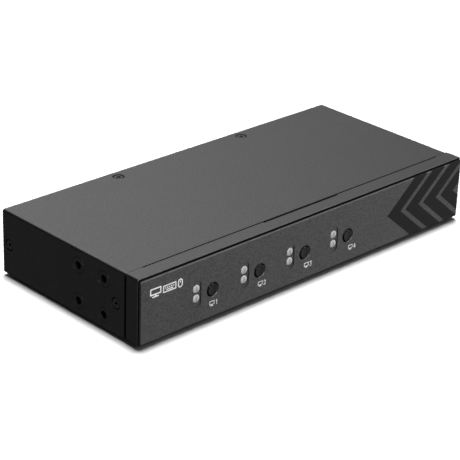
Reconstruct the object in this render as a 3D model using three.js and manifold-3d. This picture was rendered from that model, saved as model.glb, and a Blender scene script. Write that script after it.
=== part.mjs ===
// A desktop and rack KVM switch: four computers share one screen, keyboard and mouse.
//
// Units are millimetres. +X is to the right seen from the front, the front faces -Y, and +Z is up.
// The origin is the middle of the footprint, on the surface that the rubber feet stand on.

import * as THREE from "three";
import { mergeVertices } from "three/addons/utils/BufferGeometryUtils.js";
import Module from "manifold-3d";

const wasm = await Module();
wasm.setup();

// ---------------------------------------------------------------------------------------------
// Driving dimensions
// ---------------------------------------------------------------------------------------------

const GAP = 0.3; // clearance between neighbouring pieces
const SHIM = 0.1; // clearance under pieces that sit on each other

const CASE = { width: 285.4, depth: 129.5, height: 42.7, sheet: 1.2, bendRadius: 1.6 };
const FOOT = { radius: 7.0, height: 2.2, sideInset: 18.0, frontInset: 25.0, rearInset: 16.0 };
const BEZEL = {
  width: 286.4, rise: 0.6, depth: 13.0, wall: 1.8,
  frontWall: 2.1, edgeRadius: 0.3, corner: 1.6,
};
const PLINTH = { setback: 1.65, inset: 0.8 }; // the plate stands on it, clear of the bezel's rim
const SEAM = { cornerLength: 13.0, top: 0.6, notchWidth: 66.0, notch: 1.4, side: 1.1, lipDepth: 3.0 };
const PLATE = { sideInset: 1.0, bottomInset: 0.5, topInset: 1.5, thickness: 1.2, chamfer: 0.4, corner: 1.4 };

const CHANNELS = 4; // computers served
const CHANNEL_PITCH = 39.19;
const FIRST_BUTTON_X = -85.15;
const BUTTON = { z: 18.95, radius: 4.2, hole: 4.6, proud: 0.4, flange: 5.0, flangeThickness: 0.9 };
const LAMP = { offsetX: -12.75, upperZ: 23.0, lowerZ: 16.65, radius: 2.85, hole: 3.0 };
const LAMP_POCKET = { width: 6.7, height: 17.1, z: 20.0, shiftX: 0.15, depth: 0.5 };
const TACT_SWITCH = { side: 6.2, height: 3.5, bore: 2.0, boreDepth: 2.4, plunger: 1.7, plungerLength: 2.3 };

const FRONT_BOARD = { y: 9.4, thickness: 1.6, bottom: 12.0, top: 39.3, halfWidth: 136.0 };
const MAIN_BOARD = { halfWidth: 136.0, frontY: 30.0, lift: 5.0, thickness: 1.6 };
const STANDOFF = { radius: 3.5, bore: 1.6, x: 131.0, frontY: 36.0, rearY: 10.0 };

const RACK_HOLES = { pitch: 23.5, centreY: 44.0, centreZ: 20.3, radius: 2.55, collar: 3.8, ring: 5.15 };
const COUNTERSUNK = { head: 3.15, shank: 1.5, neck: 0.25, length: 6.0, clearance: 0.35 };
const PAN_SCREW = { head: 2.8, headHeight: 2.0, shank: 1.25, length: 5.0 };
const TOP_SCREW = { x: 54.9, fromRear: 6.8 };
const SIDE_SCREW = { frontY: 21.4, fromRear: 6.1, z: 20.3 };
const BEZEL_SCREW = { x: 100.0, z: 7.0 };

const PORT = { proud: 0.4, groupPitch: 40.0, firstGroupX: 22.0, rim: 0.3 };
const VIDEO_PORT = { width: 15.2, height: 6.0, depth: 11.0, wall: 0.55, chamfer: 1.4, pocket: 8.5 };
const USB_B_PORT = {
  width: 12.0, height: 11.0, depth: 16.0,
  mouthWidth: 8.6, mouthHeight: 7.9, pocket: 10.0,
};
const USB_A_PORT = {
  width: 14.6, height: 15.8, depth: 17.5,
  mouthWidth: 12.5, mouthHeight: 5.1, pocket: 12.0,
};
const AUDIO_PORT = { width: 24.0, height: 11.0, depth: 13.0, barrel: 3.9, bore: 1.8, spacing: 12.5 };
const POWER_PORT = { width: 9.2, height: 11.0, depth: 14.0, bore: 3.2, pin: 1.0, pocket: 10.0 };

const ROUND = { large: 24, medium: 16, small: 8 }; // facets on a full circle

// Derived places
const frontY = -CASE.depth / 2;
const rearY = CASE.depth / 2;
const bottomZ = FOOT.height;
const topZ = bottomZ + CASE.height;
const bezelTopZ = topZ + BEZEL.rise;
const sheetInnerX = CASE.width / 2 - CASE.sheet;
const chassisX = sheetInnerX - GAP;
const bezelBackY = frontY + BEZEL.depth;
const coverFrontY = bezelBackY + GAP;
const mainBoardZ = bottomZ + CASE.sheet + MAIN_BOARD.lift;
const portZ = mainBoardZ + MAIN_BOARD.thickness + SHIM;
const plinthY = frontY + PLATE.thickness + SHIM;
const bezelInnerY = plinthY + BEZEL.frontWall;

// ---------------------------------------------------------------------------------------------
// Solids: three.js geometry in, joined and cut by manifold-3d
// ---------------------------------------------------------------------------------------------

function signedVolume(positions, triangles) {
  const [a, b, c] = [new THREE.Vector3(), new THREE.Vector3(), new THREE.Vector3()];
  return triangles.reduce((total, [i, j, k]) => {
    a.fromArray(positions, 3 * i);
    b.fromArray(positions, 3 * j);
    c.fromArray(positions, 3 * k);
    return total + a.dot(b.cross(c)) / 6;
  }, 0);
}

// Merges the shared vertices, drops the flat triangles at a turned piece's poles and turns every
// face outwards.
function asSolid(geometry) {
  const bare = geometry.clone();
  bare.deleteAttribute("normal");
  bare.deleteAttribute("uv");
  const merged = mergeVertices(bare, 1e-4);
  const positions = new Float32Array(merged.attributes.position.array);
  const order = Array.from(merged.index.array);
  const corners = Array.from({ length: order.length / 3 }, (_, i) => order.slice(3 * i, 3 * i + 3));
  const triangles = corners.filter(([i, j, k]) => i !== j && j !== k && k !== i);
  const outward = signedVolume(positions, triangles) > 0;
  const facing = outward ? triangles : triangles.map(([i, j, k]) => [i, k, j]);
  const mesh = new wasm.Mesh({
    numProp: 3,
    vertProperties: positions,
    triVerts: new Uint32Array(facing.flat()),
  });
  return new wasm.Manifold(mesh);
}

const joined = (geometries) => geometries.map(asSolid).reduce((whole, next) => whole.add(next));
const carved = (body, cutters) => cutters.reduce((rest, cutter) => rest.subtract(asSolid(cutter)), body);

function meshOf(name, finish, solid) {
  const { vertProperties, triVerts } = solid.getMesh();
  const geometry = new THREE.BufferGeometry();
  geometry.setAttribute("position", new THREE.BufferAttribute(new Float32Array(vertProperties), 3));
  geometry.setIndex(new THREE.BufferAttribute(new Uint32Array(triVerts), 1));
  geometry.computeVertexNormals();
  const mesh = new THREE.Mesh(geometry, new THREE.MeshStandardMaterial(finish));
  mesh.name = name;
  return mesh;
}

function block([x0, x1], [y0, y1], [z0, z1]) {
  const geometry = new THREE.BoxGeometry(x1 - x0, y1 - y0, z1 - z0);
  return geometry.translate((x0 + x1) / 2, (y0 + y1) / 2, (z0 + z1) / 2);
}

// A turned piece: [radius, height] points from the axis back to the axis, +Z of the profile laid
// along `direction`, and height 0 placed at `place`.
function turned(profile, facets, direction, place) {
  const points = profile.map(([radius, height]) => new THREE.Vector2(radius, height));
  const geometry = new THREE.LatheGeometry(points, facets);
  geometry.rotateX(Math.PI / 2);
  const turn = new THREE.Quaternion().setFromUnitVectors(new THREE.Vector3(0, 0, 1), direction);
  return geometry.applyQuaternion(turn).translate(place.x, place.y, place.z);
}

const rod = (radius, from, to, facets, direction, place) =>
  turned([[0, from], [radius, from], [radius, to], [0, to]], facets, direction, place);

const LEFT = new THREE.Vector3(-1, 0, 0);
const RIGHT = new THREE.Vector3(1, 0, 0);
const BACK = new THREE.Vector3(0, 1, 0);
const UP = new THREE.Vector3(0, 0, 1);
const at = (x, y, z) => new THREE.Vector3(x, y, z);

// An outline drawn in X and Z, filled from y0 to y1.
function slabXZ(shape, y0, y1, curveSegments = 6) {
  const geometry = new THREE.ExtrudeGeometry(shape, { depth: y1 - y0, bevelEnabled: false, curveSegments });
  return geometry.rotateX(Math.PI / 2).translate(0, y1, 0);
}

function polygon(points) {
  return new THREE.Shape(points.map(([x, z]) => new THREE.Vector2(x, z)));
}

function obround(x, z, width, height) {
  const radius = width / 2;
  const reach = height / 2 - radius;
  const shape = new THREE.Shape();
  shape.absarc(x, z + reach, radius, 0, Math.PI, false);
  shape.absarc(x, z - reach, radius, Math.PI, 2 * Math.PI, false);
  shape.closePath();
  return shape;
}

// A rounded rectangle in X and Z, standing at y, as a ring of points.
function ring({ x0, x1, z0, z1, radius, y }) {
  const stepsPerCorner = 4;
  const corners = [
    [x1 - radius, z1 - radius, 0],
    [x0 + radius, z1 - radius, 1],
    [x0 + radius, z0 + radius, 2],
    [x1 - radius, z0 + radius, 3],
  ];
  return corners.flatMap(([x, z, quarter]) =>
    Array.from({ length: stepsPerCorner + 1 }, (_, step) => {
      const angle = ((quarter + step / stepsPerCorner) * Math.PI) / 2;
      return at(x + radius * Math.cos(angle), y, z + radius * Math.sin(angle));
    })
  );
}

// Rings from front to back, skinned and closed with flat ends.
function lofted(rings) {
  const count = rings[0].length;
  const indices = [];
  for (let level = 0; level + 1 < rings.length; level += 1) {
    for (let i = 0; i < count; i += 1) {
      const a = level * count + i;
      const b = level * count + ((i + 1) % count);
      indices.push(a, a + count, b, b, a + count, b + count);
    }
  }
  const last = (rings.length - 1) * count;
  for (let i = 1; i + 1 < count; i += 1) {
    indices.push(0, i, i + 1);
    indices.push(last, last + i + 1, last + i);
  }
  const geometry = new THREE.BufferGeometry().setFromPoints(rings.flat());
  geometry.setIndex(indices);
  return geometry;
}

// ---------------------------------------------------------------------------------------------
// Finishes
// ---------------------------------------------------------------------------------------------

const FINISH = {
  powderCoat: { color: 0x3a3b3d, roughness: 0.55, metalness: 0.2 },
  frontPlate: { color: 0x2c2d2f, roughness: 0.6, metalness: 0.1 },
  bezel: { color: 0x2b2c2e, roughness: 0.6, metalness: 0.0 },
  blackPlastic: { color: 0x131415, roughness: 0.5, metalness: 0.0 },
  milkyPlastic: { color: 0xcfd0d2, roughness: 0.35, metalness: 0.0 },
  solderMask: { color: 0x123a24, roughness: 0.4, metalness: 0.0 },
  bareSteel: { color: 0x9a9c9f, roughness: 0.35, metalness: 0.9 },
  portShell: { color: 0xb9bbbe, roughness: 0.25, metalness: 1.0 },
  darkScrew: { color: 0x242526, roughness: 0.4, metalness: 0.8 },
  ribbon: { color: 0x9fa3a6, roughness: 0.6, metalness: 0.0 },
  rubber: { color: 0x101010, roughness: 0.9, metalness: 0.0 },
};

// ---------------------------------------------------------------------------------------------
// Fasteners
// ---------------------------------------------------------------------------------------------

// Countersunk head at height 0, shank running down; `grow` widens it into its clearance hole.
function countersunkProfile(grow) {
  const { head, shank, neck, length } = COUNTERSUNK;
  const coneDepth = head - shank;
  const shoulder = head + grow;
  return [
    [0, grow],
    [shoulder, grow],
    [shoulder, -neck],
    [shank + grow, -neck - coneDepth],
    [shank + grow, -length - grow],
    [0, -length - grow],
  ];
}

// The cross recess in a screw head, pointing in from height 0.
function crossRecess(armLength, armWidth, depth, direction, place) {
  const turn = new THREE.Quaternion().setFromUnitVectors(UP, direction);
  const arms = [
    block([-armLength / 2, armLength / 2], [-armWidth / 2, armWidth / 2], [-depth, depth]),
    block([-armWidth / 2, armWidth / 2], [-armLength / 2, armLength / 2], [-depth, depth]),
  ];
  return arms.map((arm) => arm.applyQuaternion(turn).translate(place.x, place.y, place.z));
}

function countersunkScrew(name, direction, place) {
  const body = turned(countersunkProfile(0), ROUND.medium, direction, place);
  const recess = crossRecess(3.7, 0.85, 1.3, direction, place);
  return meshOf(name, FINISH.darkScrew, carved(asSolid(body), recess));
}

const countersunkHole = (direction, place) =>
  turned(countersunkProfile(COUNTERSUNK.clearance), ROUND.medium, direction, place);

function panScrew(name, direction, place) {
  const { head, headHeight, shank, length } = PAN_SCREW;
  const crown = 0.5;
  const profile = [
    [0, headHeight],
    [head - crown, headHeight],
    [head, headHeight - crown],
    [head, 0],
    [shank, 0],
    [shank, -length],
    [0, -length],
  ];
  const recessPlace = place.clone().addScaledVector(direction, headHeight);
  const body = turned(profile, ROUND.small, direction, place);
  const recess = crossRecess(3.2, 0.8, 1.1, direction, recessPlace);
  return meshOf(name, FINISH.bareSteel, carved(asSolid(body), recess));
}

const topScrewPlaces = [-TOP_SCREW.x, TOP_SCREW.x].map((x) => at(x, rearY - TOP_SCREW.fromRear, topZ - SHIM));
const sideScrewPlaces = [LEFT, RIGHT].flatMap((side) =>
  [frontY + SIDE_SCREW.frontY, rearY - SIDE_SCREW.fromRear].map((y) => ({
    side,
    place: at(side.x * (CASE.width / 2 - SHIM), y, bottomZ + SIDE_SCREW.z),
  }))
);
const bezelScrewPlaces = [-BEZEL_SCREW.x, BEZEL_SCREW.x].map((x) =>
  at(x, coverFrontY + CASE.sheet + SHIM, bottomZ + BEZEL_SCREW.z)
);
const standoffPlaces = [-STANDOFF.x, STANDOFF.x].flatMap((x) =>
  [frontY + STANDOFF.frontY, rearY - STANDOFF.rearY].map((y) => at(x, y, mainBoardZ))
);

function screws() {
  return [
    ...topScrewPlaces.map((place, i) => countersunkScrew(`top_screw_${i + 1}`, UP, place)),
    ...sideScrewPlaces.map(({ side, place }, i) => countersunkScrew(`side_screw_${i + 1}`, side, place)),
    ...bezelScrewPlaces.map((place, i) => panScrew(`bezel_screw_${i + 1}`, BACK, place)),
    ...standoffPlaces.map((place, i) =>
      panScrew(`board_screw_${i + 1}`, UP, place.clone().setZ(mainBoardZ + MAIN_BOARD.thickness + SHIM))
    ),
  ];
}

// ---------------------------------------------------------------------------------------------
// Sheet metal
// ---------------------------------------------------------------------------------------------

function coverOutline() {
  const outerX = CASE.width / 2;
  const innerX = sheetInnerX;
  const outerR = CASE.bendRadius;
  const innerR = outerR - CASE.sheet;
  const innerTop = topZ - CASE.sheet;
  const shape = new THREE.Shape();
  shape.moveTo(outerX, bottomZ);
  shape.lineTo(outerX, topZ - outerR);
  shape.absarc(outerX - outerR, topZ - outerR, outerR, 0, Math.PI / 2, false);
  shape.lineTo(-outerX + outerR, topZ);
  shape.absarc(-outerX + outerR, topZ - outerR, outerR, Math.PI / 2, Math.PI, false);
  shape.lineTo(-outerX, bottomZ);
  shape.lineTo(-innerX, bottomZ);
  shape.lineTo(-innerX, innerTop - innerR);
  shape.absarc(-innerX + innerR, innerTop - innerR, innerR, Math.PI, Math.PI / 2, true);
  shape.lineTo(innerX - innerR, innerTop);
  shape.absarc(innerX - innerR, innerTop - innerR, innerR, Math.PI / 2, 0, true);
  shape.lineTo(innerX, bottomZ);
  shape.closePath();
  return shape;
}

const rackHolePlaces = [LEFT, RIGHT].flatMap((side) =>
  [-1, 1].flatMap((alongY) =>
    [-1, 1].map((alongZ) => ({
      side,
      place: at(
        (side.x * CASE.width) / 2,
        frontY + RACK_HOLES.centreY + (alongY * RACK_HOLES.pitch) / 2,
        bottomZ + RACK_HOLES.centreZ + (alongZ * RACK_HOLES.pitch) / 2
      ),
    }))
  )
);

// The ear holes are drawn inwards into tapped collars.
function topCover() {
  const collarDepth = CASE.sheet + 1.4;
  const shell = slabXZ(coverOutline(), coverFrontY, rearY, 4);
  const collars = rackHolePlaces.map(({ side, place }) =>
    rod(RACK_HOLES.collar, -collarDepth, -CASE.sheet / 2, ROUND.medium, side, place)
  );
  const bores = rackHolePlaces.map(({ side, place }) =>
    rod(RACK_HOLES.radius, -collarDepth - 1, 1, ROUND.medium, side, place)
  );
  const screwHoles = [
    ...topScrewPlaces.map((place) => countersunkHole(UP, place)),
    ...sideScrewPlaces.map(({ side, place }) => countersunkHole(side, place)),
  ];
  const body = joined([shell, ...collars]);
  return meshOf("top_cover", FINISH.powderCoat, carved(body, [...bores, ...screwHoles]));
}

function baseChassis() {
  const { sheet } = CASE;
  const flangeTopZ = topZ - sheet - GAP;
  const tabTopZ = bottomZ + 34;
  const tabFrontY = frontY + BEZEL.depth + SEAM.lipDepth + 1;
  const frontFlangeTopZ = bottomZ + 11;
  const floor = block([-chassisX, chassisX], [coverFrontY, rearY], [bottomZ, bottomZ + sheet]);
  const rearWall = block([-chassisX, chassisX], [rearY - sheet, rearY], [bottomZ, flangeTopZ]);
  const topFlange = block([-120, 120], [rearY - 13, rearY], [flangeTopZ - sheet, flangeTopZ]);
  const frontFlange = block([-120, 120], [coverFrontY, coverFrontY + sheet], [bottomZ, frontFlangeTopZ]);
  const sideTabs = [-1, 1].map((side) => {
    const faces = [side * chassisX, side * (chassisX - sheet)].sort((a, b) => a - b);
    return block(faces, [tabFrontY, rearY], [bottomZ, tabTopZ]);
  });
  const standoffs = standoffPlaces.map((place) =>
    rod(STANDOFF.radius, -MAIN_BOARD.lift - sheet / 2, -SHIM, ROUND.medium, UP, place)
  );
  const standoffBores = standoffPlaces.map((place) =>
    rod(STANDOFF.bore, -MAIN_BOARD.lift + 0.5, 1, ROUND.small, UP, place)
  );
  const earY = frontY + RACK_HOLES.centreY;
  const earRelief = RACK_HOLES.pitch / 2 + RACK_HOLES.ring;
  const windowZ = bottomZ + RACK_HOLES.centreZ - earRelief;
  const windowY = [earY - earRelief, earY + earRelief];
  const tabWindow = block([-chassisX - 1, chassisX + 1], windowY, [windowZ, topZ]);
  const screwHoles = [
    ...topScrewPlaces.map((place) => countersunkHole(UP, place)),
    ...sideScrewPlaces.map(({ side, place }) => countersunkHole(side, place)),
    ...bezelScrewPlaces.map((place) => rod(PAN_SCREW.shank + GAP, -3, 3, ROUND.small, BACK, place)),
  ];
  const cuts = [tabWindow, ...standoffBores, ...screwHoles, ...portCutouts()];
  const body = joined([floor, rearWall, topFlange, frontFlange, ...sideTabs, ...standoffs]);
  return meshOf("base_chassis", FINISH.powderCoat, carved(body, cuts));
}

// ---------------------------------------------------------------------------------------------
// Front: bezel, plate, buttons and lamps
// ---------------------------------------------------------------------------------------------

const channels = Array.from({ length: CHANNELS }, (_, i) => {
  const buttonX = FIRST_BUTTON_X + i * CHANNEL_PITCH;
  return { number: i + 1, buttonX, lampX: buttonX + LAMP.offsetX };
});
const buttonZ = bottomZ + BUTTON.z;
const lampLevels = [
  { name: "upper", z: bottomZ + LAMP.upperZ },
  { name: "lower", z: bottomZ + LAMP.lowerZ },
];
const stakePlaces = [-130, 130].flatMap((x) =>
  [16, 36].map((z) => at(x, frontY + FRONT_BOARD.y, bottomZ + z))
);

const plateEdges = {
  x0: -BEZEL.width / 2 + PLATE.sideInset,
  x1: BEZEL.width / 2 - PLATE.sideInset,
  z0: bottomZ + PLATE.bottomInset,
  z1: bezelTopZ - PLATE.topInset,
};
const inset = ({ x0, x1, z0, z1 }, by) => ({ x0: x0 + by, x1: x1 - by, z0: z0 + by, z1: z1 - by });

function frontPanel() {
  const { chamfer, corner, thickness } = PLATE;
  const plate = lofted([
    ring({ ...inset(plateEdges, chamfer), radius: corner - chamfer, y: frontY }),
    ring({ ...plateEdges, radius: corner, y: frontY + chamfer }),
    ring({ ...plateEdges, radius: corner, y: frontY + thickness }),
  ]);
  const holeEdge = 0.25;
  const cuts = channels.flatMap(({ buttonX, lampX }) => {
    const buttonHole = [
      [0, -1],
      [BUTTON.hole + holeEdge + 1, -1],
      [BUTTON.hole, holeEdge],
      [BUTTON.hole, thickness + 1],
      [0, thickness + 1],
    ];
    const { width, height, z, shiftX, depth } = LAMP_POCKET;
    return [
      turned(buttonHole, ROUND.large, BACK, at(buttonX, frontY, buttonZ)),
      slabXZ(obround(lampX + shiftX, bottomZ + z, width, height), frontY - 1, frontY + depth, 12),
      ...lampLevels.map((level) => rod(LAMP.hole, -1, 3, ROUND.medium, BACK, at(lampX, frontY, level.z))),
    ];
  });
  return meshOf("front_panel", FINISH.frontPlate, carved(asSolid(plate), cuts));
}

function bezelShell() {
  const outer = { x0: -BEZEL.width / 2, x1: BEZEL.width / 2, z0: bottomZ, z1: bezelTopZ };
  const rimY = frontY + PLINTH.setback;
  const eased = BEZEL.edgeRadius;
  return lofted([
    ring({ ...inset(outer, eased), radius: BEZEL.corner - eased, y: rimY }),
    ring({ ...outer, radius: BEZEL.corner, y: rimY + eased }),
    ring({ ...outer, radius: BEZEL.corner, y: bezelBackY }),
  ]);
}

// Carries the plate in front of the rim, and leaves a shadow gap all round behind its edge.
function plinth() {
  const outline = { ...inset(plateEdges, PLINTH.inset), radius: PLATE.corner };
  return lofted([
    ring({ ...outline, y: plinthY }),
    ring({ ...outline, y: frontY + PLINTH.setback + 0.6 }),
  ]);
}

// The lip behind the bezel's top and side walls tucks under the cover.
function bezelLip() {
  const outerX = chassisX;
  const lipTop = topZ - CASE.sheet - GAP;
  const thickness = 1.2;
  const depth = [bezelBackY - 2, bezelBackY + SEAM.lipDepth];
  const sideBottom = bottomZ + CASE.sheet + GAP;
  return [
    block([-outerX, outerX], depth, [lipTop - thickness, lipTop]),
    block([-outerX, -outerX + thickness], depth, [sideBottom, lipTop]),
    block([outerX - thickness, outerX], depth, [sideBottom, lipTop]),
  ];
}

// The rear edge steps back from the cover: least at the corners, most in the middle and at the sides.
function seamCuts() {
  const halfX = BEZEL.width / 2;
  const back = bezelBackY + GAP;
  const outside = [topZ - CASE.sheet, bezelTopZ + 1];
  const sideWall = [bottomZ - 1, topZ - BEZEL.corner];
  const straight = halfX - SEAM.cornerLength;
  return [
    block([-straight, straight], [back - SEAM.top, back + 1], outside),
    block([-SEAM.notchWidth / 2, SEAM.notchWidth / 2], [back - SEAM.notch, back + 1], outside),
    block([-halfX - 1, -chassisX - GAP], [back - SEAM.side, back + 1], sideWall),
    block([chassisX + GAP, halfX + 1], [back - SEAM.side, back + 1], sideWall),
  ];
}

function frontBezel() {
  const cavity = block(
    [-BEZEL.width / 2 + BEZEL.wall + 1.5, BEZEL.width / 2 - BEZEL.wall - 1.5],
    [bezelInnerY, bezelBackY + 1],
    [bottomZ + BEZEL.wall, topZ - CASE.sheet - GAP - 1.2]
  );
  const windows = channels.flatMap(({ buttonX, lampX }) => {
    const midZ = (lampLevels[0].z + lampLevels[1].z) / 2;
    const windowHeight = LAMP.upperZ - LAMP.lowerZ + 2 * (LAMP.hole + 0.2);
    const lampWindow = obround(lampX, midZ, 2 * (LAMP.hole + 0.2), windowHeight);
    return [
      rod(BUTTON.hole, -1, 5, ROUND.large, BACK, at(buttonX, frontY, buttonZ)),
      slabXZ(lampWindow, frontY, frontY + 5, 8),
    ];
  });
  const bosses = bezelScrewPlaces.map(({ x, z }) =>
    rod(3.2, bezelInnerY - 0.5, coverFrontY - GAP, ROUND.small, BACK, at(x, 0, z))
  );
  const bossBores = bezelScrewPlaces.map((place) =>
    rod(PAN_SCREW.shank + GAP, -PAN_SCREW.length - 1, 1, ROUND.small, BACK, place)
  );
  const posts = stakePlaces.flatMap((place) => [
    rod(2.6, -FRONT_BOARD.y + bezelInnerY - frontY - 0.5, -SHIM, ROUND.small, BACK, place),
    rod(1.2, -1, FRONT_BOARD.thickness + 1, ROUND.small, BACK, place),
  ]);
  const shell = carved(joined([bezelShell(), plinth()]), [cavity, ...windows, ...seamCuts()]);
  const fittings = [...bezelLip(), ...bosses, ...posts];
  const whole = fittings.reduce((body, fitting) => body.add(asSolid(fitting)), shell);
  return meshOf("front_bezel", FINISH.bezel, carved(whole, bossBores));
}

function buttonCap({ number, buttonX }) {
  const { radius, proud, flange, flangeThickness } = BUTTON;
  const flangeFront = bezelInnerY + GAP - (frontY - proud);
  const profile = [
    [0, 0],
    [3.3, 0.12],
    [3.9, 0.4],
    [radius, 0.9],
    [radius, flangeFront],
    [flange, flangeFront],
    [flange, flangeFront + flangeThickness],
    [0, flangeFront + flangeThickness],
  ];
  const body = turned(profile, ROUND.large, BACK, at(buttonX, frontY - proud, buttonZ));
  return meshOf(`button_cap_${number}`, FINISH.blackPlastic, asSolid(body));
}

const plungerY = bezelInnerY + GAP + BUTTON.flangeThickness + GAP;

function switchPlunger({ number, buttonX }) {
  const { plunger, plungerLength } = TACT_SWITCH;
  const body = rod(plunger, 0, plungerLength, ROUND.small, BACK, at(buttonX, plungerY, buttonZ));
  return meshOf(`switch_plunger_${number}`, FINISH.blackPlastic, asSolid(body));
}

function switchBody({ number, buttonX }) {
  const { side, height, bore, boreDepth } = TACT_SWITCH;
  const backY = frontY + FRONT_BOARD.y - SHIM;
  const half = side / 2;
  const sides = [buttonX - half, buttonX + half];
  const body = block(sides, [backY - height, backY], [buttonZ - half, buttonZ + half]);
  const hole = rod(bore, -1, boreDepth, ROUND.small, BACK, at(buttonX, backY - height, buttonZ));
  return meshOf(`switch_body_${number}`, FINISH.bareSteel, carved(asSolid(body), [hole]));
}

// A milky lens that carries the light of a small diode on the front board.
function lampLens({ number, lampX }, { name, z }) {
  const lensFront = frontY + LAMP_POCKET.depth - 0.15;
  const length = frontY + FRONT_BOARD.y - SHIM - lensFront;
  const profile = [
    [0, 0],
    [2.3, 0.2],
    [LAMP.radius, 0.6],
    [LAMP.radius, 3.6],
    [2.3, 3.6],
    [2.3, length],
    [0, length],
  ];
  const body = turned(profile, ROUND.medium, BACK, at(lampX, lensFront, z));
  return meshOf(`lamp_${number}_${name}`, FINISH.milkyPlastic, asSolid(body));
}

function frontControls() {
  return channels.flatMap((channel) => [
    buttonCap(channel),
    switchPlunger(channel),
    switchBody(channel),
    ...lampLevels.map((level) => lampLens(channel, level)),
  ]);
}

// ---------------------------------------------------------------------------------------------
// Circuit boards and what joins them
// ---------------------------------------------------------------------------------------------

const RIBBON = { x: 60.0, width: 18.0, thickness: 0.8, header: 22.0, headerDepth: 6.0, headerHeight: 5.0 };
const frontHeaderY = frontY + FRONT_BOARD.y + FRONT_BOARD.thickness + SHIM;
const frontHeaderZ = bottomZ + 26;
const mainHeaderY = frontY + MAIN_BOARD.frontY + 8;

function frontBoard() {
  const { y, thickness, bottom, top, halfWidth } = FRONT_BOARD;
  const faces = [frontY + y, frontY + y + thickness];
  const board = block([-halfWidth, halfWidth], faces, [bottomZ + bottom, bottomZ + top]);
  const stakeHoles = stakePlaces.map((place) => rod(1.5, -1, 3, ROUND.small, BACK, place));
  return meshOf("front_board", FINISH.solderMask, carved(asSolid(board), stakeHoles));
}

function mainBoard() {
  const { halfWidth, thickness } = MAIN_BOARD;
  const depth = [frontY + MAIN_BOARD.frontY, rearY - CASE.sheet - GAP];
  const board = block([-halfWidth, halfWidth], depth, [mainBoardZ, mainBoardZ + thickness]);
  const holes = standoffPlaces.map((place) => rod(STANDOFF.bore, -1, 3, ROUND.small, UP, place));
  return meshOf("main_board", FINISH.solderMask, carved(asSolid(board), holes));
}

function ribbonParts() {
  const { x, width, thickness, header, headerDepth, headerHeight } = RIBBON;
  const acrossHeader = [x - header / 2, x + header / 2];
  const halfHeight = headerHeight / 2;
  const frontHeader = block(
    acrossHeader,
    [frontHeaderY, frontHeaderY + headerDepth],
    [frontHeaderZ - halfHeight, frontHeaderZ + halfHeight]
  );
  const mainHeader = block(
    acrossHeader,
    [mainHeaderY - halfHeight, mainHeaderY + halfHeight],
    [portZ, portZ + headerDepth]
  );
  const start = at(x, frontHeaderY + headerDepth + GAP, frontHeaderZ);
  const end = at(x, mainHeaderY, portZ + headerDepth + GAP);
  const route = new THREE.CatmullRomCurve3([
    start,
    start.clone().add(at(0, 5, 0.4)),
    at(x, mainHeaderY - 5, frontHeaderZ - 1.5),
    end.clone().add(at(0, 0, 4)),
    end,
  ]);
  const section = polygon([
    [-width / 2, -thickness / 2],
    [width / 2, -thickness / 2],
    [width / 2, thickness / 2],
    [-width / 2, thickness / 2],
  ]);
  const cable = new THREE.ExtrudeGeometry(section, { steps: 16, bevelEnabled: false, extrudePath: route });
  return [
    meshOf("ribbon_header_front", FINISH.blackPlastic, asSolid(frontHeader)),
    meshOf("ribbon_header_main", FINISH.blackPlastic, asSolid(mainHeader)),
    meshOf("ribbon_cable", FINISH.ribbon, asSolid(cable)),
  ];
}

function switchChip() {
  const side = 23;
  const chipHeight = 1.8;
  const base = 2;
  const fins = 6;
  const finThickness = 1.4;
  const across = [-side / 2, side / 2];
  const along = [-side / 2 - 6, side / 2 - 6];
  const chip = block(across, along, [portZ, portZ + chipHeight]);
  const sinkZ = portZ + chipHeight + SHIM;
  const plate = block(across, along, [sinkZ, sinkZ + base]);
  const finBlocks = Array.from({ length: fins }, (_, i) => {
    const left = -side / 2 + (i * (side - finThickness)) / (fins - 1);
    return block([left, left + finThickness], along, [sinkZ + base / 2, sinkZ + 9]);
  });
  return [
    meshOf("switch_chip", FINISH.blackPlastic, asSolid(chip)),
    meshOf("heatsink", FINISH.bareSteel, joined([plate, ...finBlocks])),
  ];
}

// ---------------------------------------------------------------------------------------------
// Rear ports. Each one stands on the main board and shows its mouth through the rear wall.
// ---------------------------------------------------------------------------------------------

const mouthY = rearY + PORT.proud;
const computerPorts = Array.from({ length: CHANNELS }, (_, i) => {
  const groupX = PORT.firstGroupX - i * PORT.groupPitch;
  return { number: i + 1, videoX: groupX + 9.5, usbX: groupX - 8.0 };
});
const CONSOLE = { videoX: 55.0, audioX: 76.5, hubX: 98.0, deskX: 115.0, powerX: -120.0 };

function videoOutline(x, { width, height, chamfer }, grow = 0) {
  const half = width / 2 + grow;
  const z0 = portZ - grow;
  const z1 = portZ + height + grow;
  return polygon([
    [x - half + chamfer, z0],
    [x + half - chamfer, z0],
    [x + half, z0 + chamfer],
    [x + half, z1],
    [x - half, z1],
    [x - half, z0 + chamfer],
  ]);
}

function videoPort(name, x) {
  const { height, depth, wall, pocket } = VIDEO_PORT;
  const midZ = portZ + height / 2;
  const shell = slabXZ(videoOutline(x, VIDEO_PORT), mouthY - depth, mouthY);
  const hollow = slabXZ(videoOutline(x, VIDEO_PORT, -wall), mouthY - pocket, mouthY + 1);
  const tongue = block([x - 5.8, x + 5.8], [mouthY - pocket - 1, mouthY - 1.2], [midZ - 0.6, midZ + 0.6]);
  const body = carved(asSolid(shell), [hollow]).add(asSolid(tongue));
  return meshOf(name, FINISH.portShell, body);
}

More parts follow.
